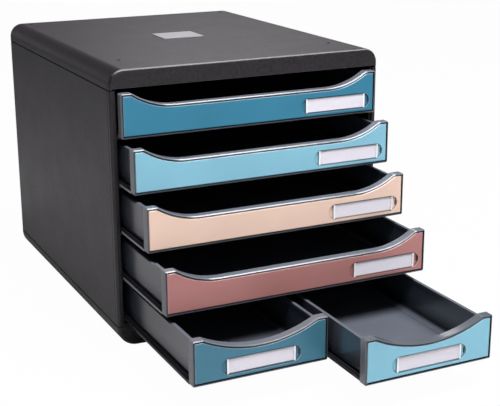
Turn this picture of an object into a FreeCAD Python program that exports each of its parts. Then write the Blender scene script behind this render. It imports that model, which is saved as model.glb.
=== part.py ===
import FreeCAD, Part
import math
import os

# A desktop drawer box: a dark moulded case with four full-width drawers and,
# below them, two half-width drawers side by side. Millimetres, +Z up.
# The origin lies on the standing surface under the middle of the case.
# +X is to the right of someone who faces the drawers, and the fronts face -Y.

# Case, outer sizes
CASE_WIDTH = 280.0
CASE_DEPTH = 341.0
FOOT_HEIGHT = 4.1
BASE_HEIGHT = 20.7
COVER_HEIGHT = 18.8

# Case, walls and edges
CASE_WALL = 2.4
COVER_RADIUS = 14.0
BASE_RADIUS = 19.5
RIM_ROUND = 2.6
BASE_RIM_BEVEL = 2.0
COVER_FRONT_RISE = 1.6
SPIGOT_HEIGHT = 1.2
BEAD_STEP = 2.0
BEAD_DEPTH = 5.6
GROOVE_SETBACK = 6.4
GROOVE_WIDTH = 0.8
GROOVE_DEPTH = 0.7
SEAM_GAP = 0.8
SEAM_DEPTH = 1.2

# Cover dimples, base feet
DIMPLE_DIAMETER = 4.6
DIMPLE_DEPTH = 1.2
DIMPLE_FRONT_INSET = 49.5
DIMPLE_FRONT_SIDE_INSET = 27.5
DIMPLE_REAR_INSET = 13.0
DIMPLE_REAR_SIDE_INSET = 21.5
FOOT_DIAMETER = 13.0
FOOT_TOP_DIAMETER = 16.0
FOOT_SIDE_INSET = 29.0
FOOT_END_INSET = 17.0

# Back panel
BACK_THICKNESS = 2.0
BACK_FIELD_INSET = 22.0
BACK_FIELD_DEPTH = 0.8
BACK_FIELD_RADIUS = 12.0

# Drawer stack
LEVELS = 5
FRONT_HEIGHT = 41.4
FRONT_SPACE = 4.15
END_GAP = 1.9
HALF_FRONT_INSET = 2.95
HALF_FRONT_GAP = 0.6
FRONT_CLOSED_GAP = 0.9

# Drawer fronts
FRONT_DEPTH = 8.4
FRONT_BORDER = 1.3
FRONT_WEB = 2.2
FRONT_CORNER_BEVEL = 1.1
SHOULDER_WIDTH = 9.2
SHOULDER_RADIUS = 6.0
SWOOP_DEPTH = 13.2
SWOOP_RADIUS = 74.0
EDGE_BEVEL = 0.9
PLATE_DEPTH = 2.4
PLATE_GAP = 0.35
PLATE_RECESS = 0.3
PLATE_BEVEL = 1.1

# Label recess, card and window
LABEL_LENGTH = 76.0
LABEL_HEIGHT = 15.4
LABEL_RISE = 12.7
LABEL_END_INSET = 6.3
LABEL_FLOOR = 0.5
CARD_END_GAP = 5.75
CARD_EDGE_GAP = 1.3
CARD_THICKNESS = 0.4
WINDOW_THICKNESS = 0.8
WINDOW_BORDER = 0.5
SLOT_WIDTH = 1.6
SLOT_HEIGHT = 5.0
SLOT_INSET = 1.5

# Drawer trays
TRAY_REAR_GAP = 8.5
TRAY_WALL = 2.0
TRAY_FLOOR = 2.0
TRAY_RADIUS = 9.0
WALL_INSET = 3.2
RIM_DROP = 5.0
RIM_WIDTH = 3.0
RIM_HEIGHT = 2.6
RISE_LENGTH = 28.0
RISE_HEIGHT = 2.2
HALF_RISE_LENGTH = 47.0
RISE_RAMP = 3.0
FLANGE_THICKNESS = 2.2
INNER_WALL_INSET = 5.0
INNER_FLANGE_INSET = 2.0
INNER_LIP_REACH = 3.4
LUG_SETBACK = 72.0
LUG_LENGTH = 6.0
LUG_LIFT = 1.1
LUG_HEIGHT = 8.0
LUG_GAP = 0.3
REAR_BEVEL = 4.0

# Runner frames, shelf and centre divider
LINER_THICKNESS = 4.05
FRAME_STEP = 0.2
SLIDE_GAP = 0.3
SIDE_GAP = 0.8
LEDGE_THICKNESS = 2.0
LEDGE_REACH = 5.4
LIP_GAP = 0.5
LIP_THICKNESS = 1.4
LIP_REACH = 2.6
STOP_SETBACK = 8.7
STOP_THICKNESS = 2.0
STOP_GAP = 0.4
SHELF_THICKNESS = 1.4
DIVIDER_WEB = 1.6
DIVIDER_LEDGE_REACH = 4.6
DIVIDER_FOOT_WIDTH = 14.0
DIVIDER_FOOT_HEIGHT = 1.6

# How far each drawer stands open at rest, as shares of the full travel: from the
# top down, the two half drawers last, left before right
OPENING_SHARES = (0.0, 0.109, 0.229, 0.390, 0.595, 0.845)
OVERRUN = 1.0

HALF_WIDTH = CASE_WIDTH / 2
FRONT_Y = -CASE_DEPTH / 2
REAR_Y = CASE_DEPTH / 2
PITCH = FRONT_HEIGHT + FRONT_SPACE
SIDE_HEIGHT = 2 * END_GAP + LEVELS * PITCH - FRONT_SPACE
BASE_Z = FOOT_HEIGHT
SEAM_LOW = BASE_Z + BASE_HEIGHT
SEAM_HIGH = SEAM_LOW + SIDE_HEIGHT
TOP_Z = SEAM_HIGH + COVER_HEIGHT
INNER_X = HALF_WIDTH - CASE_WALL
INNER_REAR = REAR_Y - CASE_WALL
BEAD_X = INNER_X - BEAD_STEP
RUNNER_X = INNER_X - LINER_THICKNESS
FRAME_Y0 = FRONT_Y + CASE_WALL + FRAME_STEP
FRAME_Y1 = INNER_REAR - BACK_THICKNESS
HALF_FRONT = RUNNER_X - SIDE_GAP
CLOSED_Y = FRONT_Y - FRONT_CLOSED_GAP - FRONT_DEPTH
TRAY_LENGTH = FRAME_Y1 - TRAY_REAR_GAP - CLOSED_Y - FRONT_DEPTH
LUG_RISE = FLANGE_THICKNESS + LIP_GAP + LIP_THICKNESS + LUG_LIFT
CLOSED_LUG_Y = CLOSED_Y + FRONT_DEPTH + TRAY_LENGTH - LUG_SETBACK
STOP_Y = FRONT_Y + STOP_SETBACK
TRAVEL = CLOSED_LUG_Y - STOP_Y - STOP_THICKNESS - STOP_GAP
NEAR = CASE_WALL / 20


def vec(x, y, z):
    return FreeCAD.Vector(x, y, z)


def block(x0, x1, y0, y1, z0, z1):
    return Part.makeBox(x1 - x0, y1 - y0, z1 - z0, vec(x0, y0, z0))


def save(node, shape):
    shape.exportStep("parts/" + node + ".step")


def mirrored(shape):
    return shape.mirror(vec(0, 0, 0), vec(1, 0, 0))


def level_z(level):
    # Bottom of the drawer front at a level, 0 is the lowest
    return SEAM_LOW + END_GAP + level * PITCH


def rounded_bar(x0, x1, radius, flat_z, round_z, y0, y1):
    # A bar along Y: flat across at flat_z, its two long edges rounded at round_z
    up = 1 if round_z > flat_z else -1
    mid_z = round_z - up * radius
    left_x, right_x = x0 + radius, x1 - radius
    turn = radius * math.sqrt(0.5)
    a, b = vec(x0, y0, flat_z), vec(x0, y0, mid_z)
    c, d = vec(left_x, y0, round_z), vec(right_x, y0, round_z)
    e, f = vec(x1, y0, mid_z), vec(x1, y0, flat_z)
    left = Part.Arc(b, vec(left_x - turn, y0, mid_z + up * turn), c).toShape()
    right = Part.Arc(d, vec(right_x + turn, y0, mid_z + up * turn), e).toShape()
    edges = [Part.makeLine(a, b), left, Part.makeLine(c, d), right]
    edges += [Part.makeLine(e, f), Part.makeLine(f, a)]
    return Part.Face(Part.Wire(edges)).extrude(vec(0, y1 - y0, 0))


def end_edges(shape, y, open_z=None):
    # Edges that bound the end face at y, without its open edge at open_z
    found = []
    for edge in shape.Edges:
        box = edge.BoundBox
        on_end = abs(box.YMin - y) < NEAR and abs(box.YMax - y) < NEAR
        on_open = open_z is not None and abs(box.ZMin - open_z) < NEAR and abs(box.ZMax - open_z) < NEAR
        if on_end and not on_open:
            found.append(edge)
    return found


def corner_radius(radius, height):
    # The long edges' radius, which leaves the spigots a straight wall
    return min(radius, height - SPIGOT_HEIGHT)


def shell_block(radius, flat_z, round_z):
    return rounded_bar(-HALF_WIDTH, HALF_WIDTH, radius, flat_z, round_z, FRONT_Y, REAR_Y)


def rim_edges(shape, flat_z):
    return end_edges(shape, FRONT_Y, flat_z) + end_edges(shape, REAR_Y, flat_z)


def hollowed(outer, radius, flat_z, round_z):
    # Cover or base: a rounded bar hollowed from its flat side
    up = 1 if round_z > flat_z else -1
    inner_z = round_z - up * CASE_WALL
    open_z = flat_z - up * OVERRUN
    inner = rounded_bar(-INNER_X, INNER_X, radius - CASE_WALL, open_z, inner_z,
                        FRONT_Y + CASE_WALL, INNER_REAR)
    return outer.cut(inner)


def shell_groove(radius, flat_z, round_z):
    # The side groove follows the rounded long edges, up to the flat
    y0 = FRONT_Y + GROOVE_SETBACK
    y1 = y0 + GROOVE_WIDTH
    up = 1 if round_z > flat_z else -1
    open_z = flat_z - up * OVERRUN
    core_z = round_z - up * GROOVE_DEPTH
    core_half = HALF_WIDTH - GROOVE_DEPTH
    core = rounded_bar(-core_half, core_half, radius - GROOVE_DEPTH, open_z, core_z, y0, y1)
    low, high = min(open_z, round_z), max(open_z, round_z)
    grooves = []
    for x0, x1 in ((-HALF_WIDTH, -HALF_WIDTH + radius), (HALF_WIDTH - radius, HALF_WIDTH)):
        grooves.append(block(x0, x1, y0, y1, low, high).cut(core))
    return Part.makeCompound(grooves)


def top_cover():
    radius = corner_radius(COVER_RADIUS, COVER_HEIGHT)
    cover = shell_block(radius, SEAM_HIGH, TOP_Z)
    cover = cover.makeFillet(RIM_ROUND, rim_edges(cover, SEAM_HIGH))
    cover = hollowed(cover, radius, SEAM_HIGH, TOP_Z)
    cover = cover.cut(shell_groove(radius, SEAM_HIGH, TOP_Z))
    lift_z = SEAM_HIGH + COVER_FRONT_RISE
    cover = cover.cut(block(-INNER_X, INNER_X, FRONT_Y, FRONT_Y + CASE_WALL, SEAM_HIGH, lift_z))
    front = (HALF_WIDTH - DIMPLE_FRONT_SIDE_INSET, FRONT_Y + DIMPLE_FRONT_INSET)
    rear = (HALF_WIDTH - DIMPLE_REAR_SIDE_INSET, REAR_Y - DIMPLE_REAR_INSET)
    for side, y in (front, rear):
        for x in (-side, side):
            place = vec(x, y, TOP_Z - DIMPLE_DEPTH)
            cover = cover.cut(Part.makeCylinder(DIMPLE_DIAMETER / 2, DIMPLE_DEPTH, place))
    return cover


def base_shell():
    radius = corner_radius(BASE_RADIUS, BASE_HEIGHT)
    base = shell_block(radius, SEAM_LOW, BASE_Z)
    base = base.makeChamfer(BASE_RIM_BEVEL, rim_edges(base, SEAM_LOW))
    base = hollowed(base, radius, SEAM_LOW, BASE_Z)
    return base.cut(shell_groove(radius, SEAM_LOW, BASE_Z))


def rubber_feet():
    # Four tapered pads stuck under the base near its corners
    side = HALF_WIDTH - FOOT_SIDE_INSET
    pads = []
    for y in (FRONT_Y + FOOT_END_INSET, REAR_Y - FOOT_END_INSET):
        for x in (-side, side):
            place = vec(x, y, 0)
            pads.append(Part.makeCone(FOOT_DIAMETER / 2, FOOT_TOP_DIAMETER / 2, FOOT_HEIGHT, place))
    return Part.makeCompound(pads)


def seam_ring(z0):
    # Shadow gap cut round the outside of a side panel where it meets the cover or the base
    z1 = z0 + SEAM_GAP
    ring = block(-HALF_WIDTH, -BEAD_X, FRONT_Y, REAR_Y, z0, z1)
    return ring.cut(block(-HALF_WIDTH + SEAM_DEPTH, -BEAD_X, FRONT_Y + SEAM_DEPTH, REAR_Y - SEAM_DEPTH, z0, z1))


def side_panel():
    # Left side: a flat wall with a thicker rounded bead in front and a lip at the rear
    wall = block(-HALF_WIDTH, -INNER_X, FRONT_Y, REAR_Y, SEAM_LOW, SEAM_HIGH)
    bead = block(-HALF_WIDTH, -BEAD_X, FRONT_Y, FRONT_Y + BEAD_DEPTH, SEAM_LOW, SEAM_HIGH)
    lip = block(-HALF_WIDTH, -BEAD_X, INNER_REAR, REAR_Y, SEAM_LOW, SEAM_HIGH)
    panel = wall.fuse([bead, lip]).removeSplitter()
    corners = []
    for edge in panel.Edges:
        box = edge.BoundBox
        upright = box.ZLength > SIDE_HEIGHT / 2
        at_end = abs(box.YMin - FRONT_Y) < NEAR or abs(box.YMin - REAR_Y) < NEAR
        if upright and at_end and abs(box.XMin + HALF_WIDTH) < NEAR:
            corners.append(edge)
    panel = panel.makeFillet(RIM_ROUND, corners)
    groove_y = FRONT_Y + GROOVE_SETBACK
    groove = block(-HALF_WIDTH, -HALF_WIDTH + GROOVE_DEPTH, groove_y, groove_y + GROOVE_WIDTH,
                   SEAM_LOW, SEAM_HIGH)
    return panel.cut([groove, seam_ring(SEAM_LOW), seam_ring(SEAM_HIGH - SEAM_GAP)])


def back_panel():
    y1 = INNER_REAR
    z0, z1 = SEAM_LOW - SPIGOT_HEIGHT, SEAM_HIGH + SPIGOT_HEIGHT
    panel = block(-INNER_X, INNER_X, y1 - BACK_THICKNESS, y1, z0, z1)
    half = INNER_X - BACK_FIELD_INSET
    low, high = SEAM_LOW + BACK_FIELD_INSET, SEAM_HIGH - BACK_FIELD_INSET
    field = block(-half, half, y1 - BACK_FIELD_DEPTH, y1, low, high)
    corners = [edge for edge in field.Edges if edge.BoundBox.YLength > BACK_FIELD_DEPTH / 2]
    return panel.cut(field.makeFillet(BACK_FIELD_RADIUS, corners))


def runner_frame():
    # Left side: a liner with, at each level, a ledge, an anti-tip lip and a stop rib
    liner_y = FRONT_Y + BEAD_DEPTH
    low, high = SEAM_LOW - SPIGOT_HEIGHT, SEAM_HIGH + SPIGOT_HEIGHT
    liner = block(-INNER_X, -RUNNER_X, liner_y, FRAME_Y1, low, high)
    pieces = [block(-BEAD_X, -RUNNER_X, FRAME_Y0, liner_y, SEAM_LOW, SEAM_HIGH)]
    ledge_x, lip_x = -RUNNER_X + LEDGE_REACH, -RUNNER_X + LIP_REACH
    for level in range(LEVELS):
        z = level_z(level)
        ledge_z, lip_z = z - SLIDE_GAP, z + FLANGE_THICKNESS + LIP_GAP
        rib_z = z + LUG_RISE + LUG_HEIGHT
        pieces.append(block(-BEAD_X, ledge_x, FRAME_Y0, FRAME_Y1, ledge_z - LEDGE_THICKNESS, ledge_z))
        pieces.append(block(-BEAD_X, lip_x, FRAME_Y0, FRAME_Y1, lip_z, lip_z + LIP_THICKNESS))
        pieces.append(block(-BEAD_X, lip_x, STOP_Y, STOP_Y + STOP_THICKNESS, lip_z, rib_z))
    return liner.fuse(pieces).removeSplitter()


def divider_shelf():
    # A thin shelf over the half drawers, held between the ledges of the level above
    z1 = level_z(1) - SLIDE_GAP - (LEDGE_THICKNESS - SHELF_THICKNESS) / 2
    half = RUNNER_X - LEDGE_REACH
    return block(-half, half, FRAME_Y0, FRAME_Y1, z1 - SHELF_THICKNESS, z1)


def centre_divider():
    # An upright web on a foot, with a ledge and a lip for each half drawer's inner flange
    y0, y1 = FRAME_Y0, FRAME_Y1
    floor_z = BASE_Z + CASE_WALL
    shelf_z = level_z(1) - SLIDE_GAP - (LEDGE_THICKNESS + SHELF_THICKNESS) / 2
    half_web = DIVIDER_WEB / 2
    half_foot = DIVIDER_FOOT_WIDTH / 2
    ledge_x, lip_x = half_web + DIVIDER_LEDGE_REACH, half_web + INNER_LIP_REACH
    ledge_z = level_z(0) - SLIDE_GAP
    lip_z = level_z(0) + FLANGE_THICKNESS + LIP_GAP
    web = block(-half_web, half_web, y0, y1, floor_z, shelf_z)
    foot = block(-half_foot, half_foot, y0, y1, floor_z, floor_z + DIVIDER_FOOT_HEIGHT)
    ledge = block(-ledge_x, ledge_x, y0, y1, ledge_z - LEDGE_THICKNESS, ledge_z)
    lip = block(-lip_x, lip_x, y0, y1, lip_z, lip_z + LIP_THICKNESS)
    return web.fuse([foot, ledge, lip]).removeSplitter()


class Drawer:
    # Sizes and places of one drawer at rest
    def __init__(self, number, level, x0, x1, inner_side):
        self.name = "drawer_" + str(number)
        self.x0, self.x1 = x0, x1
        self.z0 = level_z(level)
        self.z1 = self.z0 + FRONT_HEIGHT
        self.y = CLOSED_Y - TRAVEL * OPENING_SHARES[number - 1]
        self.back_y = self.y + FRONT_DEPTH
        self.inner_side = inner_side
        self.wall_x0 = x0 + (INNER_WALL_INSET if inner_side == "left" else WALL_INSET)
        self.wall_x1 = x1 - (INNER_WALL_INSET if inner_side == "right" else WALL_INSET)
        self.rim_z = self.z1 - RIM_DROP
        label_end = x1 - LABEL_END_INSET
        self.label_x = label_end - LABEL_LENGTH / 2 if inner_side == "none" else (x0 + x1) / 2
        self.label_z = self.z0 + LABEL_RISE
        half_span = (x1 - x0) / 2 - SHOULDER_WIDTH
        whole_radius = (half_span ** 2 + SWOOP_DEPTH ** 2) / (2 * SWOOP_DEPTH) - SHOULDER_RADIUS
        self.swoop_radius = min(SWOOP_RADIUS, whole_radius) if inner_side == "none" else whole_radius


def swoop_half(drawer, inset, side):
    # Points of one half of the swooped top edge, from the shoulder to the dip
    start_x = drawer.x0 + SHOULDER_WIDTH if side > 0 else drawer.x1 - SHOULDER_WIDTH
    span = SHOULDER_RADIUS + drawer.swoop_radius
    rise_share = (span - SWOOP_DEPTH) / span
    angle = math.acos(rise_share)
    small, large = SHOULDER_RADIUS - inset, drawer.swoop_radius + inset
    small_z = drawer.z1 - SHOULDER_RADIUS
    large_x = start_x + side * span * math.sin(angle)
    large_z = drawer.z1 - SWOOP_DEPTH + drawer.swoop_radius

    def on_small(turn):
        return start_x + side * small * math.sin(turn), small_z + small * math.cos(turn)

    def on_large(turn):
        return large_x - side * large * math.sin(turn), large_z - large * math.cos(turn)

    return [on_small(0), on_small(angle / 2), on_small(angle), on_large(angle / 2), on_large(0)]


def front_solid(drawer, inset, y0, y1):
    # A prism of the front's swooped outline, drawn in by inset all round
    def point(pair):
        return vec(pair[0], y0, pair[1])

    left = [point(pair) for pair in swoop_half(drawer, inset, 1)]
    right = [point(pair) for pair in reversed(swoop_half(drawer, inset, -1))]
    x0, x1 = drawer.x0 + inset, drawer.x1 - inset
    z0, z1 = drawer.z0 + inset, drawer.z1 - inset
    start, end = vec(x0, y0, z1), vec(x1, y0, z1)
    low_left, low_right = vec(x0, y0, z0), vec(x1, y0, z0)
    edges = [Part.makeLine(start, left[0])]
    edges.append(Part.Arc(left[0], left[1], left[2]).toShape())
    if drawer.inner_side == "none":
        edges.append(Part.Arc(left[2], left[3], left[4]).toShape())
        edges.append(Part.makeLine(left[4], right[0]))
        edges.append(Part.Arc(right[0], right[1], right[2]).toShape())
    else:
        edges.append(Part.Arc(left[2], left[4], right[2]).toShape())
    edges.append(Part.Arc(right[2], right[3], right[4]).toShape())
    edges += [Part.makeLine(right[4], end), Part.makeLine(end, low_right)]
    edges += [Part.makeLine(low_right, low_left), Part.makeLine(low_left, start)]
    return Part.Face(Part.Wire(edges)).extrude(vec(0, y1 - y0, 0))


def corner_edges(solid, drawer):
    # The four outer corners of a front prism, as seen from the front
    corners = []
    for edge in solid.Edges:
        box = edge.BoundBox
        along = box.YLength > box.XLength + box.ZLength + NEAR
        at_side = min(abs(box.XMin - drawer.x0), abs(box.XMin - drawer.x1)) < NEAR
        if along and at_side:
            corners.append(edge)
    return corners


def front_frame(drawer):
    # The moulded front: a pocket in front for the plate, hollow behind
    frame = front_solid(drawer, 0, drawer.y, drawer.back_y)
    frame = frame.makeChamfer(FRONT_CORNER_BEVEL, corner_edges(frame, drawer))
    frame = frame.makeChamfer(EDGE_BEVEL, end_edges(frame, drawer.y))
    pocket = front_solid(drawer, FRONT_BORDER, drawer.y, drawer.y + PLATE_DEPTH)
    web_y = drawer.y + PLATE_DEPTH + FRONT_WEB
    hollow = front_solid(drawer, FRONT_BORDER, web_y, drawer.back_y)
    inside = block(drawer.wall_x0 + TRAY_WALL, drawer.wall_x1 - TRAY_WALL, web_y, drawer.back_y,
                   drawer.z0, drawer.z1)
    return frame.cut(pocket).cut(hollow.common(inside))


def tray_body(drawer):
    # Rounded pan with a thicker rim round its top
    y0, y1 = drawer.y + PLATE_DEPTH + FRONT_WEB, drawer.back_y + TRAY_LENGTH
    x0, x1 = drawer.wall_x0, drawer.wall_x1
    outer = rounded_bar(x0, x1, TRAY_RADIUS, drawer.rim_z, drawer.z0, y0, y1)
    outer = outer.makeChamfer(REAR_BEVEL, end_edges(outer, y1, drawer.rim_z))
    inner_y1, lip_z = y1 - TRAY_WALL, drawer.rim_z - RIM_HEIGHT
    inner_x0, inner_x1 = x0 + TRAY_WALL, x1 - TRAY_WALL
    floor_z = drawer.z0 + TRAY_FLOOR
    inner = rounded_bar(inner_x0, inner_x1, TRAY_RADIUS - TRAY_WALL, lip_z, floor_z, y0, inner_y1)
    inner = inner.makeChamfer(REAR_BEVEL - TRAY_WALL / 2, end_edges(inner, inner_y1, lip_z))
    mouth = block(x0 + RIM_WIDTH, x1 - RIM_WIDTH, y0, y1 - RIM_WIDTH, lip_z, drawer.rim_z)
    return outer.cut(inner).cut(mouth)


def rim_rise(drawer, x0):
    # Raised stretch of the left rim just behind the front, with a ramp at its end
    length = RISE_LENGTH if drawer.inner_side == "none" else HALF_RISE_LENGTH
    y0, y1 = drawer.back_y, drawer.back_y + length
    low, high = drawer.rim_z, drawer.rim_z + RISE_HEIGHT
    points = [(y0, low), (y0, high), (y1 - RISE_RAMP, high), (y1, low), (y0, low)]
    wire = Part.makePolygon([vec(x0, y, z) for y, z in points])
    return Part.Face(wire).extrude(vec(RIM_WIDTH, 0, 0))


def runner_side(drawer, side):
    # One side of a tray: its flange, and on the case's side also the tail and the lug
    inner = drawer.inner_side == side
    sign = 1 if side == "left" else -1
    edge_x = drawer.x0 if side == "left" else drawer.x1
    wall_x = drawer.wall_x0 if side == "left" else drawer.wall_x1
    rear_y = drawer.back_y + TRAY_LENGTH
    lug_y = rear_y - LUG_SETBACK
    root_x = wall_x + sign * TRAY_RADIUS
    flange = (edge_x + sign * (INNER_FLANGE_INSET if inner else 0), root_x)
    z0 = drawer.z0
    parts = [block(min(flange), max(flange), drawer.back_y, rear_y - REAR_BEVEL, z0, z0 + FLANGE_THICKNESS)]
    if not inner:
        runner_x = -sign * HALF_FRONT
        tail = (runner_x, root_x)
        parts.append(block(min(tail), max(tail), lug_y, rear_y - REAR_BEVEL, z0, z0 + FLANGE_THICKNESS))
        lug = (runner_x + sign * LUG_GAP, wall_x + sign * TRAY_WALL)
        low = z0 + LUG_RISE
        parts.append(block(min(lug), max(lug), lug_y, lug_y + LUG_LENGTH, low, low + LUG_HEIGHT))
    return parts


def tray(drawer):
    # One moulding: pan, front frame, runner flanges, stop lugs
    parts = [front_frame(drawer)] + runner_side(drawer, "left") + runner_side(drawer, "right")
    if drawer.inner_side != "left":
        parts.append(rim_rise(drawer, drawer.wall_x0))
    return tray_body(drawer).fuse(parts).removeSplitter()


def stadium(x, z, length, height, y0, y1):
    # Round-ended bar through Y
    half, radius = length / 2 - height / 2, height / 2
    a, b = vec(x - half, y0, z - radius), vec(x + half, y0, z - radius)
    c, d = vec(x + half, y0, z + radius), vec(x - half, y0, z + radius)
    right = Part.Arc(b, vec(x + half + radius, y0, z), c).toShape()
    left = Part.Arc(d, vec(x - half - radius, y0, z), a).toShape()
    wire = Part.Wire([Part.makeLine(a, b), right, Part.makeLine(c, d), left])
    return Part.Face(wire).extrude(vec(0, y1 - y0, 0))


def label_floor(drawer):
    return drawer.y + PLATE_DEPTH - LABEL_FLOOR


def push_slot(drawer, y0, y1):
    # Small upright slot at the right end of the label recess
    x = drawer.label_x + LABEL_LENGTH / 2 - SLOT_INSET
    half_width, half_height = SLOT_WIDTH / 2, SLOT_HEIGHT / 2
    z = drawer.label_z
    return block(x - half_width, x + half_width, y0, y1, z - half_height, z + half_height)


def front_plate(drawer):
    # Coloured plate in the front's pocket, with the sunk label recess
    y0, y1 = drawer.y + PLATE_RECESS, drawer.y + PLATE_DEPTH
    inset = FRONT_BORDER + PLATE_GAP
    plate = front_solid(drawer, inset, y0, y1)
    plate = plate.makeChamfer(PLATE_BEVEL, end_edges(plate, y0))
    floor_y = label_floor(drawer)
    recess = stadium(drawer.label_x, drawer.label_z, LABEL_LENGTH, LABEL_HEIGHT, y0, floor_y)
    return plate.cut(recess).cut(push_slot(drawer, floor_y, y1))


def label_card(drawer):
    y1 = label_floor(drawer)
    x = drawer.label_x
    half, half_height = LABEL_LENGTH / 2 - CARD_END_GAP, LABEL_HEIGHT / 2 - CARD_EDGE_GAP
    return block(x - half, x + half, y1 - CARD_THICKNESS, y1,
                 drawer.label_z - half_height, drawer.label_z + half_height)


def label_window(drawer):
    # Clear cover over the card, a little larger than the card all round
    y1 = label_floor(drawer) - CARD_THICKNESS
    half = LABEL_LENGTH / 2 - CARD_END_GAP + WINDOW_BORDER
    half_height = LABEL_HEIGHT / 2 - CARD_EDGE_GAP + WINDOW_BORDER
    x, z = drawer.label_x, drawer.label_z
    return block(x - half, x + half, y1 - WINDOW_THICKNESS, y1, z - half_height, z + half_height)


def drawers():
    # Numbered from the top down, then the lower pair from left to right
    near, far = HALF_FRONT_GAP / 2, HALF_FRONT - HALF_FRONT_INSET
    rows = [Drawer(number, LEVELS - number, -HALF_FRONT, HALF_FRONT, "none") for number in range(1, LEVELS)]
    rows.append(Drawer(LEVELS, 0, -far, -near, "right"))
    rows.append(Drawer(LEVELS + 1, 0, near, far, "left"))
    return rows


def main():
    os.makedirs("parts", exist_ok=True)
    left_side, left_runner = side_panel(), runner_frame()
    save("top_cover", top_cover())
    save("base_shell", base_shell())
    save("rubber_feet", rubber_feet())
    save("left_side_panel", left_side)
    save("right_side_panel", mirrored(left_side))
    save("back_panel", back_panel())
    save("left_runner_frame", left_runner)
    save("right_runner_frame", mirrored(left_runner))
    save("divider_shelf", divider_shelf())
    save("centre_divider", centre_divider())
    for drawer in drawers():
        save(drawer.name + "_tray", tray(drawer))
        save(drawer.name + "_front_plate", front_plate(drawer))
        save(drawer.name + "_label_card", label_card(drawer))
        save(drawer.name + "_label_window", label_window(drawer))


main()
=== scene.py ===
import math

import bpy
from mathutils import Matrix, Vector


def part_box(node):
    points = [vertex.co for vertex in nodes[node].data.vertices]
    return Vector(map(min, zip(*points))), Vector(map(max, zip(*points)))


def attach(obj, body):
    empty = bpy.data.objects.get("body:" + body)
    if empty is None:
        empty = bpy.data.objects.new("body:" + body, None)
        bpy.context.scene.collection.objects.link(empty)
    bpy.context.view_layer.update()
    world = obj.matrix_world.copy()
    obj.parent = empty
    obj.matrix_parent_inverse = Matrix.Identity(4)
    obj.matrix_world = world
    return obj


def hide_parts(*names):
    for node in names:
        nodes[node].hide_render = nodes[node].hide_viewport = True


# A dark desktop drawer box, its drawers pulled out in steps. Metres, +Z up, fronts face -Y.
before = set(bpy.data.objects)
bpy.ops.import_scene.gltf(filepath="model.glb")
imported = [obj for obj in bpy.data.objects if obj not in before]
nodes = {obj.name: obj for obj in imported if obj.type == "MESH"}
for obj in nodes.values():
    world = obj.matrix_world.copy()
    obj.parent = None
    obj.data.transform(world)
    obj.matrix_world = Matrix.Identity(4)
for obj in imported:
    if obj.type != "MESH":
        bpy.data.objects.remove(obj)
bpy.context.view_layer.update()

MM = 0.001
# A span is where a value starts and where it ends. Most of a noise lies in the first one.
NOISE_SPAN = (0.3, 0.7)
SEAM_SPAN = (0.35, 0.85)
EDGE_SPAN = (1.0, 0.75)
LIT_SPAN = (0.10, 0.45)

# Drawers 1 to 4 are full-width, from the top down. Below them are 5 on the left and 6 on the right.
DRAWERS = range(1, 7)
LAST_FULL_WIDTH, LOWER_LEFT, LOWER_RIGHT = 4, 5, 6
DRAWER_COLOURS = ("teal", "light_blue", "peach", "rose", "dark_teal", "light_blue")
PLATE_TINTS = {
    "teal": (0.036, 0.228, 0.352),
    "light_blue": (0.255, 0.575, 0.705),
    "peach": (0.865, 0.645, 0.515),
    "rose": (0.460, 0.208, 0.192),
    "dark_teal": (0.060, 0.208, 0.290),
}

# Case: black, with painted shade in its joints and hollows, edges lightened by wear and a painted
# highlight, and a painted highlight on the lid's rounded front edge
CASE_TINTS = ((0.0050, 0.0044, 0.0054), (0.0190, 0.0168, 0.0196))
CASE_WEAR_AND_HIGHLIGHT = (0.090, 0.086, 0.092)
CASE_SEAM_SHADE = (0.0010, 0.0010, 0.0010)
CASE_ROUGH, POLISHED_ROUGH, DIRTY_ROUGH = 0.39, 0.12, 0.95
MOTTLE_SPAN = (0.35, 0.65)
CREST_HIGHLIGHT_TINT = (0.16, 0.156, 0.16)
CREST_FORWARD, CREST_UP = (-0.20, -0.40), (0.55, 0.75)
JOINT_LINE = (0.5 * MM, 0.9 * MM)
# Runner frames inside the case, and the feet under it
RUNNER_TINTS = ((0.005, 0.005, 0.006), (0.009, 0.009, 0.010))
RUNNER_ROUGH = 0.4
RUBBER_TINTS = ((0.012, 0.012, 0.012), (0.03, 0.03, 0.03))

# Drawer tray: tints, some of them painted light and painted shade, ranges of roughness, and how
# strongly each part reflects
TRAY_TINTS = ((0.090, 0.104, 0.126), (0.106, 0.123, 0.148))
# Edges lightened by wear and a painted highlight
TRAY_EDGE_WEAR_AND_HIGHLIGHT, WEAR_AND_HIGHLIGHT_AMOUNT = (0.17, 0.17, 0.19), 0.6
# Painted shade deep in seams
TRAY_SEAM_SHADE = (0.006, 0.006, 0.007)
# Painted shade on the walls, darker still at their foot
WALL_SHADE_TINT, WALL_FOOT_SHADE_TINT = (0.042, 0.051, 0.066), (0.010, 0.012, 0.016)
# Painted shade on the flange tops, and a painted highlight along the flange's edges
FLANGE_SHADE_TINT, FLANGE_EDGE_HIGHLIGHT = (0.016, 0.017, 0.021), (0.36, 0.36, 0.39)
# Painted light on the outer flange sides of the full-width drawers, painted shade on those of the
# lower two
BRINK_LIGHT_TINT, HALF_BRINK_SHADE_TINT = (0.25, 0.25, 0.27), (0.022, 0.022, 0.027)
# Painted light on the front frame and its sides, with a darker copy for the lower right drawer
FRAME_LIGHT_TINT, LOWER_RIGHT_FRAME_SHADE_TINT = (0.130, 0.150, 0.172), (0.095, 0.108, 0.123)
FRAME_SIDE_LIGHT_TINT = (0.160, 0.172, 0.192)
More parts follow.
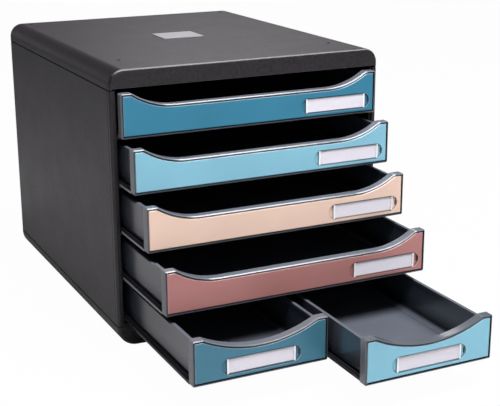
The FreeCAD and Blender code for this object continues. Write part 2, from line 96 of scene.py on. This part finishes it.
# Painted shade on the face round the plate, darker under the swoop
FACE_SHADE_TINT, FACE_TOP_SHADE_TINT = (0.070, 0.075, 0.086), (0.010, 0.010, 0.012)
FLOOR_ROUGH, WALL_ROUGH, FRAME_ROUGH = (0.30, 0.38), (0.20, 0.26), (0.13, 0.19)
FLOOR_SHINE, WALL_SHINE, WALL_FOOT_SHINE, FLANGE_SHINE = 0.3, 1.0, 0.0, 0.08

# Drawer tray: spans from its front back, from its lowest face up, and from a wall's face outwards
FRAME_DEPTH = (8.3 * MM, 8.6 * MM)
WALL_FOOT = (5 * MM, 20 * MM)
FACE_SWOOP = (18 * MM, 26 * MM)
FLANGE_TOP = (2.3 * MM, 2.6 * MM)
FLANGE_START = (-0.4 * MM, -0.2 * MM)
# How squarely a surface faces the front or a side
FACING_FRONT, FACING_ASIDE = (-0.72, -0.92), (0.6, 0.9)
# From the plate's edge to a wall's outer face. The wall by the centre divider stands further in.
PLATE_BORDER = 1.3 * MM
OUTER_WALL = 3.2 * MM - PLATE_BORDER
INNER_WALL = 5.0 * MM - PLATE_BORDER

# Label: white card, and a clear cover that keeps some air over the card, with a near-white lip at
# each end that is a painted highlight
CARD_TINTS = ((0.74, 0.735, 0.79), (0.80, 0.79, 0.85))
COVER_TINT, COVER_ALPHA = (0.95, 0.96, 0.98), 0.06
LIP_HIGHLIGHT_TINTS = ((0.93, 0.95, 0.98), (0.97, 0.98, 1.0))
COVER_AIR = 0.08 * MM
COVER_ROUND, LIP_ROUND = 0.05 * MM, 0.3 * MM
LIP_WIDTH, LIP_PROUD = 1.4 * MM, 0.15 * MM
ROUND_STEPS = 4
WELD = 0.001 * MM

# Plain bare plate on the lid, a little off its middle and turned a little
LID_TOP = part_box("top_cover")[1].z
LID_PLATE_SIZE = (44.6 * MM, 40.4 * MM, 0.5 * MM)
LID_PLATE_PLACE = (-2.7 * MM, -0.3 * MM, LID_TOP)
LID_PLATE_TURN = math.radians(-1.0)
SILVER_TINTS = ((0.55, 0.55, 0.57), (0.72, 0.72, 0.74))

# White studio: the floor, the room from its walls to its ceiling, and the lamps
FLOOR_REACH = 6.0
FLOOR_GREY = (0.50, 0.50, 0.50)
WHITE = (1, 1, 1)
FLOOR_WHITE = 0.98
ROOM_WALLS, ROOM_CEILING = (0.40, 0.385, 0.40), (0.08, 0.076, 0.08)
CEILING_SPAN = (0.08, 0.30)
LAMP_TINT = (1.0, 0.968, 1.0)
LAMPS = {
    "overhead": {"place": (0.15, -0.85, 1.70), "aim": (0, -0.2, 0.2),
                 "size": (1.6, 0.6), "power": 60},
    "rear": {"place": (0.8, 1.6, 1.35), "aim": (0, 0, 0.27),
             "size": (0.7, 0.5), "power": 4.0},
}

# Camera place and its right and backward directions
CAMERA_PLACE = (-0.469149, -1.134771, 0.449819)
CAMERA_RIGHT = (0.8989407, -0.4380499, -0.0042411)
CAMERA_BACK = (-0.4186516, -0.8619026, 0.2861028)
CAMERA_LENS, CAMERA_SENSOR, CAMERA_REACH = 82.7752, 36.0, 50.0


def in_scene(name, data):
    thing = bpy.data.objects.new(name, data)
    bpy.context.scene.collection.objects.link(thing)
    return thing


def feed(tree, target, value):
    # A socket is linked; a number, a colour or a material is set on the node's own socket
    if isinstance(value, bpy.types.NodeSocket):
        tree.links.new(value, target)
    else:
        target.default_value = (*value, 1) if target.type == "RGBA" else value


def add(tree, kind, **values):
    # What names one of the new node's inputs goes there, and the rest are its settings
    node = tree.nodes.new(kind)
    for key, value in values.items():
        if key in node.inputs:
            feed(tree, node.inputs[key], value)
        else:
            setattr(node, key, value)
    return node


def empty_tree(owner):
    owner.use_nodes = True
    owner.node_tree.nodes.clear()
    return owner.node_tree


def tree_of(name):
    mat = bpy.data.materials.new(name)
    tree = empty_tree(mat)
    shader = add(tree, "ShaderNodeBsdfPrincipled")
    add(tree, "ShaderNodeOutputMaterial", Surface=shader.outputs["BSDF"])
    return mat, tree, shader


def coat(tree, shader, values):
    # Sets or links the shader's inputs by their names
    for key, value in values.items():
        feed(tree, shader.inputs[key], value)


def place_of(tree, scale=(1, 1, 1)):
    coords = add(tree, "ShaderNodeTexCoord")
    mapping = add(tree, "ShaderNodeMapping", Scale=scale, Vector=coords.outputs["Object"])
    return mapping.outputs["Vector"]


def axes(tree, vector):
    return add(tree, "ShaderNodeSeparateXYZ", Vector=vector).outputs


def facing_of(tree):
    # Which way the surface faces, in the object's own axes
    return axes(tree, add(tree, "ShaderNodeTexCoord").outputs["Normal"])


def noise(tree, place, scale, detail=2.0, roughness=0.5):
    node = add(tree, "ShaderNodeTexNoise", Vector=place, Scale=scale, Detail=detail,
               Roughness=roughness)
    return node.outputs["Fac"]


def stretch(tree, value, span, low, high):
    # The span becomes low to high, and what lies past it stays at the nearer of them
    node = add(tree, "ShaderNodeMapRange", **{
        "Value": value, "From Min": span[0], "From Max": span[1], "To Min": low, "To Max": high})
    return node.outputs["Result"]


def rise(tree, value, span, origin=0.0):
    # 0 up to the span and 1 from its end on
    return stretch(tree, value, (origin + span[0], origin + span[1]), 0.0, 1.0)


def fade(tree, value, span, origin=0.0):
    # 1 up to the span and 0 from its end on
    return stretch(tree, value, (origin + span[0], origin + span[1]), 1.0, 0.0)


def spread(tree, texture, low=0.0, high=1.0):
    return stretch(tree, texture, NOISE_SPAN, low, high)


def sums(tree, operation, first, second=0.0):
    node = add(tree, "ShaderNodeMath", operation=operation)
    feed(tree, node.inputs[0], first)
    feed(tree, node.inputs[1], second)
    return node.outputs[0]


def bump(tree, height, distance, strength, under=None):
    node = add(tree, "ShaderNodeBump", Height=height, Distance=distance, Strength=strength)
    if under is not None:
        feed(tree, node.inputs["Normal"], under)
    return node.outputs["Normal"]


def bevelled(tree, radius):
    # The surface's direction as if its edges were rounded by this radius
    return add(tree, "ShaderNodeBevel", samples=6, Radius=radius).outputs["Normal"]


def wear_and_highlight_edges(tree, radius):
    # 1 along sharp edges, 0 on flats
    match = add(tree, "ShaderNodeVectorMath", operation="DOT_PRODUCT")
    feed(tree, match.inputs[0], bevelled(tree, radius))
    feed(tree, match.inputs[1], add(tree, "ShaderNodeNewGeometry").outputs["Normal"])
    return rise(tree, match.outputs["Value"], EDGE_SPAN)


def lit_edges(tree, radius):
    # 1 along edges that turn up or to the left, which get a painted highlight
    turn = axes(tree, bevelled(tree, radius))
    lift = sums(tree, "MAXIMUM", turn["Z"], sums(tree, "MULTIPLY", turn["X"], -1.0))
    return rise(tree, lift, LIT_SPAN)


def shaded_seams(tree, reach, span=SEAM_SPAN):
    # 1 deep in a seam or groove, 0 in the open
    hollow = add(tree, "ShaderNodeAmbientOcclusion", samples=8, Distance=reach)
    return fade(tree, hollow.outputs["AO"], span)


def blend(tree, factor, first, second, kind="RGBA"):
    # Either side may be a socket, a colour or a number
    node = add(tree, "ShaderNodeMix", data_type=kind, Factor=factor)
    sides = [k for k in node.inputs if k.name in ("A", "B") and k.enabled]
    for side, value in zip(sides, (first, second)):
        feed(tree, side, value)
    return next(k for k in node.outputs if k.enabled)


def joint_lines(tree, place):
    # Painted shade: dark hairlines where the side panels meet the lid and the base
    height = axes(tree, place)["Z"]
    lines = []
    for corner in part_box("left_side_panel"):
        away = sums(tree, "ABSOLUTE", sums(tree, "SUBTRACT", height, corner.z))
        lines.append(fade(tree, away, JOINT_LINE))
    return sums(tree, "MAXIMUM", *lines)


def grained_case():
    # Black moulded plastic with a fine leather-like grain, its edges a little polished and
    # lightened by wear and a painted highlight
    mat, tree, shader = tree_of("case_plastic")
    place = place_of(tree)
    facing = facing_of(tree)
    grain = noise(tree, place, scale=1500.0, detail=3.0, roughness=0.6)
    mottle = noise(tree, place, scale=380.0, detail=4.0, roughness=0.65)
    cloud = noise(tree, place, scale=30.0, detail=3.0)
    edge = wear_and_highlight_edges(tree, radius=0.6 * MM)
    # Painted shade deep in hollows and along the joints
    hollows = shaded_seams(tree, reach=3.0 * MM, span=(0.45, 0.92))
    seam = sums(tree, "MAXIMUM", hollows, joint_lines(tree, place))
    # The crest is the lid's rounded front edge, between forward and up; it gets a painted highlight
    crest = sums(tree, "MULTIPLY", rise(tree, facing["Y"], CREST_FORWARD),
                 rise(tree, facing["Z"], CREST_UP))
    colour = blend(tree, rise(tree, mottle, MOTTLE_SPAN), *CASE_TINTS)
    # Edges lightened by wear and a painted highlight
    colour = blend(tree, edge, colour, CASE_WEAR_AND_HIGHLIGHT)
    # Painted highlight along the crest
    colour = blend(tree, crest, colour, CREST_HIGHLIGHT_TINT)
    rough = sums(tree, "ADD", spread(tree, mottle, CASE_ROUGH - 0.06, CASE_ROUGH + 0.06),
                 spread(tree, cloud, -0.02, 0.02))
    rough = blend(tree, edge, rough, POLISHED_ROUGH, "FLOAT")
    under = bump(tree, mottle, distance=0.30 * MM, strength=0.85)
    coat(tree, shader, {
        # Painted shade in the seams
        "Base Color": blend(tree, seam, colour, CASE_SEAM_SHADE),
        "Roughness": blend(tree, seam, rough, DIRTY_ROUGH, "FLOAT"),
        "Normal": bump(tree, grain, distance=0.04 * MM, strength=0.5, under=under),
    })
    return mat


def runner_plastic():
    # Plain moulded plastic of the hidden runners, with a fine spark-eroded grain
    mat, tree, shader = tree_of("runner_plastic")
    place = place_of(tree)
    grain = noise(tree, place, scale=1700.0, detail=3.0, roughness=0.6)
    cloud = noise(tree, place, scale=22.0, detail=3.0)
    coat(tree, shader, {
        "Base Color": blend(tree, spread(tree, cloud), *RUNNER_TINTS),
        "Roughness": spread(tree, grain, RUNNER_ROUGH - 0.05, RUNNER_ROUGH + 0.06),
        "Normal": bump(tree, grain, distance=0.03 * MM, strength=0.6),
    })
    return mat


def runner_flange(tree, number, at, floor):
    # 1 on the runner flanges, the lowest 2.3 mm outside the tray's walls
    low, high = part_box("drawer_%d_front_plate" % number)
    left = low.x + (INNER_WALL if number == LOWER_RIGHT else OUTER_WALL)
    right = high.x - (INNER_WALL if number == LOWER_LEFT else OUTER_WALL)
    aside = sums(tree, "ABSOLUTE", sums(tree, "SUBTRACT", at["X"], (left + right) / 2))
    outside = rise(tree, aside, FLANGE_START, (right - left) / 2)
    return sums(tree, "MULTIPLY", outside, fade(tree, at["Z"], FLANGE_TOP, floor))


def drawer_plastic(number):
    # Anthracite tray; its front frame is glossier, with painted shade on the face round the plate
    mat, tree, shader = tree_of("drawer_%d_plastic" % number)
    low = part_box("drawer_%d_tray" % number)[0]
    place = place_of(tree)
    at = axes(tree, place)
    facing = facing_of(tree)
    grain = noise(tree, place, scale=2000.0, roughness=0.6)
    cloud = noise(tree, place, scale=18.0, detail=3.0)
    edge = wear_and_highlight_edges(tree, radius=0.4 * MM)
    seam = shaded_seams(tree, reach=2.0 * MM)

    # Each of these is 1 on its own part of the tray and 0 elsewhere
    front = fade(tree, at["Y"], FRAME_DEPTH, low.y)
    behind = sums(tree, "SUBTRACT", 1.0, front)
    face = sums(tree, "MULTIPLY", front, rise(tree, facing["Y"], FACING_FRONT))
    upright = rise(tree, sums(tree, "ABSOLUTE", facing["X"]), FACING_ASIDE)
    foot = fade(tree, at["Z"], WALL_FOOT, low.z)
    wall = sums(tree, "MULTIPLY", upright, behind)
    flange = runner_flange(tree, number, at, low.z)

    # Painted shade: the walls are darker than the floor, and darker still towards their foot
    colour = blend(tree, spread(tree, cloud), *TRAY_TINTS)
    colour = blend(tree, upright, colour, blend(tree, foot, WALL_SHADE_TINT, WALL_FOOT_SHADE_TINT))
    # Painted shade on a flange's top; its outer side gets painted light on the full-width drawers
    # and painted shade on the lower two
    brink = BRINK_LIGHT_TINT if number <= LAST_FULL_WIDTH else HALF_BRINK_SHADE_TINT
    colour = blend(tree, flange, colour, blend(tree, upright, FLANGE_SHADE_TINT, brink))
    # Edges lightened by wear and a painted highlight, the flange's by a painted highlight alone
    edge_wear_and_highlight = blend(tree, flange, TRAY_EDGE_WEAR_AND_HIGHLIGHT, FLANGE_EDGE_HIGHLIGHT)
    colour = blend(tree, stretch(tree, edge, (0.0, 1.0), 0.0, WEAR_AND_HIGHLIGHT_AMOUNT), colour, edge_wear_and_highlight)
    # Painted light on the front frame's ledge and sides, with a darker copy on the lower right
    # drawer
    border = LOWER_RIGHT_FRAME_SHADE_TINT if number == LOWER_RIGHT else FRAME_LIGHT_TINT
    colour = blend(tree, front, colour, blend(tree, upright, border, FRAME_SIDE_LIGHT_TINT))
    # Painted shade on the face round the plate, darkest under the swoop
    swoop = rise(tree, at["Z"], FACE_SWOOP, low.z)
    colour = blend(tree, face, colour, blend(tree, swoop, FACE_SHADE_TINT, FACE_TOP_SHADE_TINT))

    rough = blend(tree, upright, spread(tree, grain, *FLOOR_ROUGH),
                  spread(tree, grain, *WALL_ROUGH), "FLOAT")
    rough = blend(tree, front, rough, spread(tree, grain, *FRAME_ROUGH), "FLOAT")
    # The reflection is strong on the open wall, and weak at its foot and on the flange
    shine = blend(tree, wall, FLOOR_SHINE, WALL_SHINE, "FLOAT")
    shine = blend(tree, sums(tree, "MULTIPLY", foot, wall), shine, WALL_FOOT_SHINE, "FLOAT")
    shine = blend(tree, sums(tree, "MULTIPLY", flange, behind), shine, FLANGE_SHINE, "FLOAT")
    coat(tree, shader, {
        # Painted shade deep in seams
        "Base Color": blend(tree, seam, colour, TRAY_SEAM_SHADE),
        "Roughness": rough,
        "IOR": 1.7,
        "Specular IOR Level": shine,
        "Normal": bump(tree, grain, distance=0.02 * MM, strength=0.4),
    })
    return mat


def satin_plate(name, tint):
    # Metallic lacquer over plastic: very fine flakes, a painted highlight on edges that turn up or
    # left, and painted shade in the label recess
    mat, tree, shader = tree_of(name)
    place = place_of(tree)
    flake = noise(tree, place, scale=2600.0, detail=1.0)
    cloud = noise(tree, place, scale=14.0)
    seam = shaded_seams(tree, reach=2.5 * MM, span=(0.45, 0.95))
    dark = tuple(0.95 * c for c in tint)
    light = tuple(min(1.0, 1.05 * c) for c in tint)
    # The pale tone is a painted highlight on the edges, and the deep tone is painted shade in the
    # recess
    pale = tuple(0.65 * c + 0.35 for c in tint)
    deep = tuple(0.40 * c for c in tint)
    colour = blend(tree, spread(tree, cloud), dark, light)
    colour = blend(tree, lit_edges(tree, radius=0.8 * MM), colour, pale)
    coat(tree, shader, {
        "Base Color": blend(tree, seam, colour, deep),
        "Metallic": 0.25,
        "Roughness": spread(tree, flake, 0.30, 0.40),
        "Normal": bump(tree, flake, distance=0.02 * MM, strength=0.3),
    })
    return mat


def paper_card():
    mat, tree, shader = tree_of("label_paper")
    fibre = noise(tree, place_of(tree), scale=900.0, detail=4.0)
    coat(tree, shader, {
        "Base Color": blend(tree, spread(tree, fibre), *CARD_TINTS),
        "Roughness": 0.8,
        "Normal": bump(tree, fibre, distance=0.03 * MM, strength=0.4),
    })
    return mat


def clear_cover():
    mat, tree, shader = tree_of("clear_cover")
    haze = noise(tree, place_of(tree), scale=300.0)
    coat(tree, shader, {
        "Base Color": COVER_TINT,
        "Alpha": COVER_ALPHA,
        "Roughness": spread(tree, haze, 0.12, 0.22),
    })
    return mat


def highlit_lip():
    # Near-white lips at the cover's ends: a painted highlight
    mat, tree, shader = tree_of("highlit_lip")
    haze = noise(tree, place_of(tree), scale=700.0, detail=3.0)
    coat(tree, shader, {
        "Base Color": blend(tree, haze, *LIP_HIGHLIGHT_TINTS),
        "Roughness": spread(tree, haze, 0.18, 0.3),
        "Normal": bump(tree, haze, distance=0.03 * MM, strength=0.4),
    })
    return mat


def soft_rubber():
    mat, tree, shader = tree_of("foot_rubber")
    grain = noise(tree, place_of(tree), scale=1500.0, detail=3.0)
    coat(tree, shader, {
        "Base Color": blend(tree, grain, *RUBBER_TINTS),
        "Roughness": 0.75,
        "Normal": bump(tree, grain, distance=0.1 * MM, strength=0.5),
    })
    return mat


def brushed_silver():
    # Bare metal, brushed across its width
    mat, tree, shader = tree_of("bare_silver_plate")
    brushed = noise(tree, place_of(tree, scale=(1, 12, 1)), scale=400.0)
    coat(tree, shader, {
        "Base Color": blend(tree, brushed, *SILVER_TINTS),
        "Metallic": 0.9,
        "Roughness": spread(tree, brushed, 0.28, 0.4),
    })
    return mat


def joined(tree, *parts):
    both = add(tree, "GeometryNodeJoinGeometry")
    for part in parts:
        tree.links.new(part, both.inputs["Geometry"])
    return both.outputs["Geometry"]


def rounded_board(tree, width, height, depth, radius):
    # Flat board with round corners, closed front and back, pulled towards -Y
    outline = add(tree, "GeometryNodeCurvePrimitiveQuadrilateral", Width=width, Height=height)
    fillet = add(tree, "GeometryNodeFilletCurve", mode="POLY", Count=ROUND_STEPS, Radius=radius,
                 Curve=outline.outputs["Curve"])
    back = add(tree, "GeometryNodeFillCurve", mode="NGONS", Curve=fillet.outputs["Curve"])
    pull = add(tree, "GeometryNodeExtrudeMesh", mode="FACES", Mesh=back.outputs["Mesh"],
               **{"Offset Scale": depth})
    flip = add(tree, "GeometryNodeFlipFaces", Mesh=back.outputs["Mesh"])
    weld = add(tree, "GeometryNodeMergeByDistance", Distance=WELD,
               Geometry=joined(tree, pull.outputs["Mesh"], flip.outputs["Mesh"]))
    stand = add(tree, "GeometryNodeTransform", Geometry=weld.outputs["Geometry"],
                Rotation=(math.pi / 2, 0, 0))
    return stand.outputs["Geometry"]


def label_cover_tree(clear, lip):
    # Clear cover with an upright near-white lip at each end, a painted highlight, its back face's
    # middle at zero
    tree = bpy.data.node_groups.new("label_cover", "GeometryNodeTree")
    keys = {}
    for name in ("Width", "Height", "Thickness", "Lip Width", "Lip Proud"):
        size = tree.interface.new_socket(name, in_out="INPUT", socket_type="NodeSocketFloat")
        keys[name] = size.identifier
    tree.interface.new_socket("Cover", in_out="OUTPUT", socket_type="NodeSocketGeometry")
    sizes = add(tree, "NodeGroupInput").outputs

    between = sums(tree, "SUBTRACT", sizes["Width"],
                   sums(tree, "MULTIPLY", sizes["Lip Width"], 2.0))
    board = rounded_board(tree, between, sizes["Height"], sizes["Thickness"], COVER_ROUND)
    bar = rounded_board(tree, sizes["Lip Width"], sizes["Height"],
                        sums(tree, "ADD", sizes["Thickness"], sizes["Lip Proud"]), LIP_ROUND)
    # One lip at each end, set in by half its own width
    reach = sums(tree, "MULTIPLY", sums(tree, "SUBTRACT", sizes["Width"], sizes["Lip Width"]), 0.5)
    ends = add(tree, "GeometryNodeMeshLine", mode="END_POINTS", Count=2)
    for key, side in (("Start Location", -1.0), ("Offset", 1.0)):
        spot = add(tree, "ShaderNodeCombineXYZ", X=sums(tree, "MULTIPLY", reach, side))
        feed(tree, ends.inputs[key], spot.outputs["Vector"])
    lips = add(tree, "GeometryNodeInstanceOnPoints", Points=ends.outputs["Mesh"], Instance=bar)

    real = add(tree, "GeometryNodeRealizeInstances",
               Geometry=joined(tree, lips.outputs["Instances"], board))
    across = axes(tree, add(tree, "GeometryNodeInputPosition").outputs["Position"])["X"]
    at_end = sums(tree, "GREATER_THAN", sums(tree, "ABSOLUTE", across),
                  sums(tree, "MULTIPLY", between, 0.5))
    see_through = add(tree, "GeometryNodeSetMaterial", Geometry=real.outputs["Geometry"],
                      Material=clear)
    # The lips at the ends carry the painted highlight
    lip_highlit = add(tree, "GeometryNodeSetMaterial", Geometry=see_through.outputs["Geometry"],
                  Selection=at_end, Material=lip)
    add(tree, "NodeGroupOutput", Cover=lip_highlit.outputs["Geometry"])
    return tree, keys


def grown_mesh(name, tree, keys, values):
    # Evaluate the tree at these sizes and keep the result as a plain mesh
    seed = in_scene(name + "_seed", bpy.data.meshes.new(name + "_seed"))
    modifier = seed.modifiers.new("sizes", "NODES")
    modifier.node_group = tree
    for key, value in values.items():
        modifier[keys[key]] = value
    bpy.context.view_layer.update()
    ready = seed.evaluated_get(bpy.context.evaluated_depsgraph_get())
    mesh = bpy.data.meshes.new_from_object(ready)
    bpy.data.objects.remove(seed)
    mesh.name = name
    return mesh


def label_covers(clear, lip):
    tree, keys = label_cover_tree(clear, lip)
    for number in DRAWERS:
        name = "label_cover_%d" % number
        node = "drawer_%d_label_window" % number
        low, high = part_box(node)
        back = high.y - COVER_AIR
        sizes = {"Width": high.x - low.x, "Height": high.z - low.z, "Thickness": back - low.y,
                 "Lip Width": LIP_WIDTH, "Lip Proud": LIP_PROUD}
        mesh = grown_mesh(name, tree, keys, sizes)
        mesh.transform(Matrix.Translation(((low.x + high.x) / 2, back, (low.z + high.z) / 2)))
        cover = in_scene(name, mesh)
        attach(cover, "drawer_%d" % number)
        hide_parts(node)


def dress(node, mat):
    slots = nodes[node].data.materials
    slots.clear()
    slots.append(mat)


def dress_all():
    case = grained_case()
    for node in ("top_cover", "base_shell", "left_side_panel", "right_side_panel", "back_panel"):
        dress(node, case)
    runner = runner_plastic()
    for node in ("left_runner_frame", "right_runner_frame", "divider_shelf", "centre_divider"):
        dress(node, runner)
    dress("rubber_feet", soft_rubber())
    paper = paper_card()
    plates = {name: satin_plate("plate_" + name, tint) for name, tint in PLATE_TINTS.items()}
    for number, colour in zip(DRAWERS, DRAWER_COLOURS):
        start = "drawer_%d_" % number
        dress(start + "tray", drawer_plastic(number))
        dress(start + "front_plate", plates[colour])
        dress(start + "label_card", paper)
    label_covers(clear_cover(), highlit_lip())


def lid_plate():
    x, y, thick = LID_PLATE_SIZE[0] / 2, LID_PLATE_SIZE[1] / 2, LID_PLATE_SIZE[2]
    corners = [(-x, -y), (x, -y), (x, y), (-x, y)]
    points = [(a, b, level) for level in (0, thick) for a, b in corners]
    sides = [(k, (k + 1) % 4, (k + 1) % 4 + 4, k + 4) for k in range(4)]
    mesh = bpy.data.meshes.new("lid_plate")
    mesh.from_pydata(points, [], [(3, 2, 1, 0), (4, 5, 6, 7)] + sides)
    turn = Matrix.Rotation(LID_PLATE_TURN, 4, "Z")
    mesh.transform(Matrix.Translation(LID_PLATE_PLACE) @ turn)
    mesh.materials.append(brushed_silver())
    plate = in_scene("lid_plate", mesh)
    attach(plate, "case")


def mixed(tree, factor, first, second):
    mix = add(tree, "ShaderNodeMixShader", Fac=factor)
    feed(tree, mix.inputs[1], first)
    feed(tree, mix.inputs[2], second)
    return mix.outputs["Shader"]


def stage():
    # Grey floor that takes the object's shadow and that the camera sees as white
    reach = FLOOR_REACH
    mesh = bpy.data.meshes.new("floor")
    corners = [(-reach, -reach, 0), (reach, -reach, 0), (reach, reach, 0), (-reach, reach, 0)]
    mesh.from_pydata(corners, [], [(0, 1, 2, 3)])
    floor = in_scene("floor", mesh)
    mat = bpy.data.materials.new("white_floor")
    tree = empty_tree(mat)
    paint = add(tree, "ShaderNodeBsdfDiffuse", Color=FLOOR_GREY).outputs["BSDF"]
    glow = add(tree, "ShaderNodeEmission", Color=WHITE, Strength=1.0).outputs["Emission"]
    path = add(tree, "ShaderNodeLightPath").outputs
    seen = sums(tree, "MULTIPLY", path["Is Camera Ray"], FLOOR_WHITE)
    add(tree, "ShaderNodeOutputMaterial", Surface=mixed(tree, seen, paint, glow))
    mesh.materials.append(mat)


def room():
    # Pale studio walls with a darker ceiling; the camera sees white
    world = bpy.data.worlds.new("studio")
    bpy.context.scene.world = world
    tree = empty_tree(world)
    height = axes(tree, add(tree, "ShaderNodeTexCoord").outputs["Generated"])["Z"]
    tint = blend(tree, rise(tree, height, CEILING_SPAN), ROOM_WALLS, ROOM_CEILING)
    walls = add(tree, "ShaderNodeBackground", Color=tint, Strength=1.0).outputs["Background"]
    white = add(tree, "ShaderNodeBackground", Color=WHITE, Strength=1.0).outputs["Background"]
    path = add(tree, "ShaderNodeLightPath").outputs
    seen = sums(tree, "MAXIMUM", path["Is Camera Ray"], path["Is Transmission Ray"])
    add(tree, "ShaderNodeOutputWorld", Surface=mixed(tree, seen, walls, white))


def lamp(name, place, aim, size, power):
    data = bpy.data.lights.new(name, "AREA")
    data.shape = "RECTANGLE"
    data.size, data.size_y = size
    data.energy = power
    data.color = LAMP_TINT
    light = in_scene(name, data)
    light.location = place
    light.rotation_euler = (Vector(aim) - Vector(place)).to_track_quat("-Z", "Y").to_euler()


def camera():
    data = bpy.data.cameras.new("camera")
    data.sensor_fit = "HORIZONTAL"
    data.sensor_width = CAMERA_SENSOR
    data.lens = CAMERA_LENS
    data.clip_end = CAMERA_REACH
    eye = in_scene("camera", data)
    back = Vector(CAMERA_BACK).normalized()
    up = back.cross(Vector(CAMERA_RIGHT)).normalized()
    turn = Matrix((up.cross(back), up, back)).transposed().to_4x4()
    eye.matrix_world = Matrix.Translation(CAMERA_PLACE) @ turn
    bpy.context.scene.camera = eye


bpy.context.scene.view_settings.view_transform = "Standard"
dress_all()
lid_plate()
stage()
room()
for name, values in LAMPS.items():
    lamp(name, **values)
camera()
